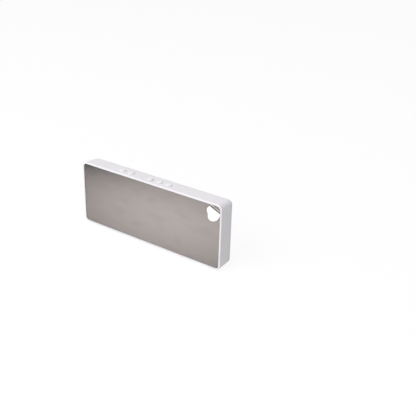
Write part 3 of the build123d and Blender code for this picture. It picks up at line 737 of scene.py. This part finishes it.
class CellSizes:
    """Measures of one cell, which lies along X, read from its node."""

    def __init__(self, node):
        low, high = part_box(node)
        self.middle = (low + high) / 2
        self.radius = (high.z - low.z) / 2
        points = [point.co for point in frame["nodes"][node].data.vertices]
        can = [place.x for place in points if self.off_axis(place) > CAN_SHARE * self.radius]
        self.start, self.stop = min(can), max(can)
        nub = [place for place in points if not self.start <= place.x <= self.stop]
        self.nub_radius = max(self.off_axis(place) for place in nub)
        self.nub_length = high.x - low.x - (self.stop - self.start)
        self.plus = 1 if high.x > self.stop else -1
        self.plus_end = self.stop if self.plus > 0 else self.start
        self.minus_end = self.start if self.plus > 0 else self.stop

    def off_axis(self, place):
        """How far a point lies from the cell's axis."""
        return Vector((0, place.y - self.middle.y, place.z - self.middle.z)).length


def at_end(points, end):
    """Whether these points of a cell all lie in one of its end planes."""
    return all(abs(point.co.x - end) < SAME_PLACE for point in points)


def step_face(amount):
    """Extrude the selected end face along X."""
    bpy.ops.mesh.extrude_region_move(TRANSFORM_OT_translate={"value": (amount, 0, 0)})


def battery_cell(name, can, sizes):
    """One cell, shaped from a cylinder at its node's place."""
    middle, radius, plus = can.middle, can.radius, can.plus
    rim = sizes.cell_rim
    deselect_all()
    bpy.ops.mesh.primitive_cylinder_add(
        vertices=CELL_SIDES,
        radius=radius,
        depth=can.stop - can.start,
        location=((can.start + can.stop) / 2, middle.y, middle.z),
        rotation=(0, pi / 2, 0),
    )
    cell = named_primitive(name)
    edit(cell)
    groove = can.minus_end + plus * sizes.groove_place
    rings = [can.plus_end - plus * sizes.band_width]
    rings += [groove + side * rim / 2 for side in (-1, 0, 1)]
    for x in rings:
        bpy.ops.mesh.select_all(action="SELECT")
        bpy.ops.mesh.bisect(plane_co=(x, middle.y, middle.z), plane_no=(1, 0, 0))
    shrink = 1 - sizes.groove_depth / radius
    select_points(cell, lambda place: abs(place.x - groove) < SAME_PLACE)
    bpy.ops.transform.resize(value=(1, shrink, shrink), center_override=(groove, middle.y, middle.z))
    rounding = rim / 2
    for end in (can.plus_end, can.minus_end):
        select_edges(cell, lambda line: at_end(line.verts, end))
        bpy.ops.mesh.bevel(offset=rounding, segments=CELL_END_STEPS, affect="EDGES")
    select_faces(cell, lambda face: face.normal.x * plus > SQUARE_ON)
    bpy.ops.mesh.inset(thickness=rim)
    step_face(plus * -sizes.nub_recess)
    bpy.ops.mesh.inset(thickness=radius - (rounding + rim) - can.nub_radius)
    step_face(plus * (sizes.nub_recess + can.nub_length))
    nub_edge = can.nub_radius / 5
    bpy.ops.mesh.inset(thickness=nub_edge)
    select_faces(cell, lambda face: at_end(face.verts, can.minus_end))
    bpy.ops.mesh.inset(thickness=rim)
    step_face(plus * sizes.nub_recess / 2)
    smooth(cell)
    return cell


def finish_cell(cell, can, sizes):
    """Give a cell's band and its bare ends their own finishes."""
    for face in cell.data.polygons:
        if can.off_axis(face.center) < can.radius - BARE_FROM * sizes.cell_rim:
            face.material_index = BARE
        elif abs(face.center.x - can.plus_end) < sizes.band_width:
            face.material_index = BAND


class CLOCK_OT_battery_cells(bpy.types.Operator):
    """Make the battery cells with their sleeves, bands, nubs and crimp grooves"""

    bl_idname = "clock.battery_cells"
    bl_label = "Battery Cells"

    def execute(self, context):
        sizes = context.scene.clock_sizes
        finishes = context.scene.clock_finishes
        sleeve = moulding(
            "cell_sleeve", finishes.sleeve, roughness=0.3, grain=0.5, depth=0.004, variation=0.2
        )
        band = sheet_metal("cell_band", finishes.band, roughness=0.3)
        ends = sheet_metal("cell_ends", finishes.steel, roughness=0.28)
        for node in nodes_of("cell_can"):
            can = CellSizes(node)
            cell = battery_cell(f"{node}_sleeved", can, sizes)
            seat(cell, "case", "cell_can", sleeve, node)
            cell.data.materials.append(band)
            cell.data.materials.append(ends)
            finish_cell(cell, can, sizes)
        return {"FINISHED"}


# Share of the socket tongue's depth that a gold strip covers, and steps across the strip's bevel.
STRIP_SHARE = 0.85
STRIP_STEPS = 2


def gold_strips(name, sizes):
    """Strips side by side under the socket's tongue, with their lower edges bevelled."""
    low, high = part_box("usb_tongue")
    pitch = (high.x - low.x) / (sizes.strip_count + 1)
    size = Vector((sizes.strip_width, (high.y - low.y) * STRIP_SHARE, sizes.strip_height))
    first = Vector((low.x + pitch, (low.y + high.y) / 2, low.z - size.z / 2))
    deselect_all()
    bpy.ops.mesh.primitive_cube_add(size=1, location=first, scale=size)
    strips = named_primitive(name)
    edit(strips)
    select_edges(strips, lambda line: all(point.co.z < first.z for point in line.verts))
    rounding = sizes.strip_height / 3
    bpy.ops.mesh.bevel(offset=rounding, segments=STRIP_STEPS, affect="EDGES")
    apply_modifier(
        strips,
        "ARRAY",
        count=sizes.strip_count,
        use_relative_offset=False,
        use_constant_offset=True,
        constant_offset_displace=(pitch, 0, 0),
    )
    smooth(strips)
    return strips


class CLOCK_OT_power_inlet(bpy.types.Operator):
    """Finish the power socket and lay gold strips on its tongue"""

    bl_idname = "clock.power_inlet"
    bl_label = "Power Inlet"

    def execute(self, context):
        finishes = context.scene.clock_finishes
        strips = gold_strips("socket_strips", context.scene.clock_sizes)
        seat(strips, "case", "plated_steel", sheet_metal("gold_flash", finishes.gold, roughness=0.25))
        dress(sheet_metal("nickel_plate", finishes.steel, roughness=0.3), "plated_steel")
        return {"FINISHED"}


class CLOCK_OT_inner_finish(bpy.types.Operator):
    """Finish the boards, the display and what else the case holds"""

    bl_idname = "clock.inner_finish"
    bl_label = "Inner Finish"

    def execute(self, context):
        finishes = context.scene.clock_finishes
        black = moulding("black_moulding", finishes.black, roughness=0.45, variation=0.2)
        milky = moulding("milky_moulding", finishes.milky, roughness=0.5)
        capacitor = moulding("capacitor_sleeve", finishes.sleeve, roughness=0.3, variation=0.2)
        dress(black, "black_plastic", "adhesive")
        dress(solder_mask(finishes.board, finishes.trace), "circuit_board")
        dress(led_lens(finishes.lens), "led_package")
        dress(milky, "diffuser", "reflector", "plunger_plastic")
        dress(capacitor, "capacitor_can")
        dress(moulding("red_insulation", finishes.red_wire, roughness=0.4), "red_wire")
        dress(moulding("black_insulation", finishes.black, roughness=0.4), "black_wire")
        return {"FINISHED"}


# The floor's roughness, and its glow: a little over plain white, to make up for the share that is only lit.
FLOOR_ROUGHNESS = 0.9
FLOOR_WHITE = 1.02


def share_of_rays(tree, rays, shares):
    """The largest of the shares whose kind of ray is seen."""
    parts = [combined(tree, "MULTIPLY", rays[kind], part) for kind, part in shares.items()]
    total = parts[0]
    for part in parts[1:]:
        total = combined(tree, "MAXIMUM", total, part)
    return total


def past_painted_pool(tree, stage):
    """How much darker a point of the floor is than the middle of the painted pool of light that the mirror sees.
    """
    pool = {
        "Location": (stage.pool_x, stage.pool_y, 0),
        "Rotation": (0, 0, stage.pool_turn),
        "Scale": (stage.pool_width, stage.pool_depth, 1),
    }
    away = add_node(tree, "ShaderNodeMapping", pool, vector_type="TEXTURE")
    tree.links.new(object_place(tree), away.inputs["Vector"])
    square = add_node(tree, "ShaderNodeVectorMath", operation="DOT_PRODUCT")
    tree.links.new(away.outputs["Vector"], square.inputs[0])
    tree.links.new(away.outputs["Vector"], square.inputs[1])
    return ranged(tree, square.outputs["Value"], 0.0, 1.0 - stage.pool_edge, curve="LINEAR")


def make_floor(stage):
    """A large pale floor, plain white to the camera, with a painted pool of light that only the mirror sees."""
    deselect_all()
    bpy.ops.mesh.primitive_plane_add(size=stage.floor_size)
    floor = named_primitive("floor")
    material, tree, shader = new_finish("pale_floor")
    shader.inputs["Base Color"].default_value = (*stage.floor_colour, 1)
    shader.inputs["Roughness"].default_value = FLOOR_ROUGHNESS
    shader.inputs["Specular IOR Level"].default_value = 0.0
    rays = add_node(tree, "ShaderNodeLightPath").outputs
    shares = {
        "Is Camera Ray": stage.floor_glow,
        "Is Transmission Ray": stage.floor_glow,
        "Is Glossy Ray": stage.mirror_glow,
    }
    white = add_node(tree, "ShaderNodeEmission", {"Strength": FLOOR_WHITE})
    painted_dark = add_node(tree, "ShaderNodeEmission", {"Strength": 0.0})
    seen = share_of_rays(tree, rays, shares)
    lit = mixed(tree, seen, shader.outputs["BSDF"], white.outputs["Emission"])
    # Past the painted pool of light, the mirror sees the floor painted dark.
    painted_pool_shade = combined(tree, "MULTIPLY", past_painted_pool(tree, stage), rays["Is Glossy Ray"])
    surface = mixed(tree, painted_pool_shade, lit, painted_dark.outputs["Emission"])
    tree.links.new(surface, tree.nodes["Material Output"].inputs["Surface"])
    floor.data.materials.append(material)


def make_sky(scene, stage):
    """Even light from all round, which the camera and shiny pieces see as white."""
    world = bpy.data.worlds.new("studio")
    scene.world = world
    world.use_nodes = True
    tree = world.node_tree
    rays = add_node(tree, "ShaderNodeLightPath").outputs
    shares = {"Is Camera Ray": 1.0, "Is Transmission Ray": 1.0, "Is Glossy Ray": 1.0}
    seen = share_of_rays(tree, rays, shares)
    background = tree.nodes["Background"]
    background.inputs["Color"].default_value = (1, 1, 1, 1)
    tree.links.new(ranged(tree, seen, stage.sky, stage.sky_seen), background.inputs["Strength"])


def turned(azimuth, elevation):
    """The direction out from the clock at an azimuth and elevation."""
    return Vector((sin(azimuth) * cos(elevation), -cos(azimuth) * cos(elevation), sin(elevation)))


def make_key_light(scene, stage):
    """One large soft light in front of the clock, above and to its left."""
    data = bpy.data.lights.new("key_light", "AREA")
    data.energy = stage.key_power
    data.size = stage.key_size
    light = bpy.data.objects.new("key_light", data)
    scene.collection.objects.link(light)
    away = turned(stage.key_azimuth, stage.key_elevation)
    light.location = away * stage.key_distance
    light.rotation_euler = away.to_track_quat("Z", "Y").to_euler()


def make_camera(scene, stage):
    """The camera, placed from the middle of the clock's front bottom edge."""
    back = turned(stage.azimuth, stage.elevation)
    level = Vector((cos(stage.azimuth), sin(stage.azimuth), 0))
    upright = back.cross(level)
    right = cos(stage.roll) * level + sin(stage.roll) * upright
    up = cos(stage.roll) * upright - sin(stage.roll) * level
    edge = Vector((0, CAD_LOW.y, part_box("front_case")[0].z))
    data = bpy.data.cameras.new("camera")
    data.lens = stage.lens
    camera = bpy.data.objects.new("camera", data)
    scene.collection.objects.link(camera)
    place = edge + stage.aside * right + stage.above * up + stage.distance * back
    camera.matrix_world = Matrix.Translation(place) @ Matrix((right, up, back)).transposed().to_4x4()
    scene.camera = camera


class CLOCK_OT_stage(bpy.types.Operator):
    """Make the pale floor, the lights and the camera"""

    bl_idname = "clock.stage"
    bl_label = "Stage"

    def execute(self, context):
        stage = context.scene.clock_stage
        context.scene.view_settings.view_transform = "Standard"
        make_floor(stage)
        make_sky(context.scene, stage)
        make_key_light(context.scene, stage)
        make_camera(context.scene, stage)
        return {"FINISHED"}


GROUPS = {"clock_finishes": ClockFinishes, "clock_sizes": ClockSizes, "clock_stage": ClockStage}
STEPS = (
    CLOCK_OT_case_finish,
    CLOCK_OT_mirror_window,
    CLOCK_OT_face_film,
    CLOCK_OT_pull_tab,
    CLOCK_OT_battery_cells,
    CLOCK_OT_power_inlet,
    CLOCK_OT_inner_finish,
    CLOCK_OT_stage,
)


class CLOCK_PT_sidebar(bpy.types.Panel):
    """The clock's tools and values in the sidebar"""

    bl_label = "Mirror Desk Clock"
    bl_space_type = "VIEW_3D"
    bl_region_type = "UI"
    bl_category = "Clock"

    def draw(self, context):
        for step in STEPS:
            self.layout.operator(step.bl_idname)
        for name, group in GROUPS.items():
            values = self.layout.box()
            for key in group.__annotations__:
                values.prop(getattr(context.scene, name), key)


def register():
    """Make the values, the operators and the panel known to Blender."""
    for name, group in GROUPS.items():
        bpy.utils.register_class(group)
        setattr(bpy.types.Scene, name, PointerProperty(type=group))
    for kind in (*STEPS, CLOCK_PT_sidebar):
        bpy.utils.register_class(kind)


def unregister():
    """Take back what register made known."""
    for kind in (CLOCK_PT_sidebar, *reversed(STEPS)):
        bpy.utils.unregister_class(kind)
    for name, group in GROUPS.items():
        delattr(bpy.types.Scene, name)
        bpy.utils.unregister_class(group)


def main():
    """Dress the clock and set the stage."""
    register()
    bpy.ops.clock.case_finish()
    bpy.ops.clock.mirror_window()
    bpy.ops.clock.face_film()
    bpy.ops.clock.pull_tab()
    bpy.ops.clock.battery_cells()
    bpy.ops.clock.power_inlet()
    bpy.ops.clock.inner_finish()
    bpy.ops.clock.stage()


if __name__ == "__main__":
    main()
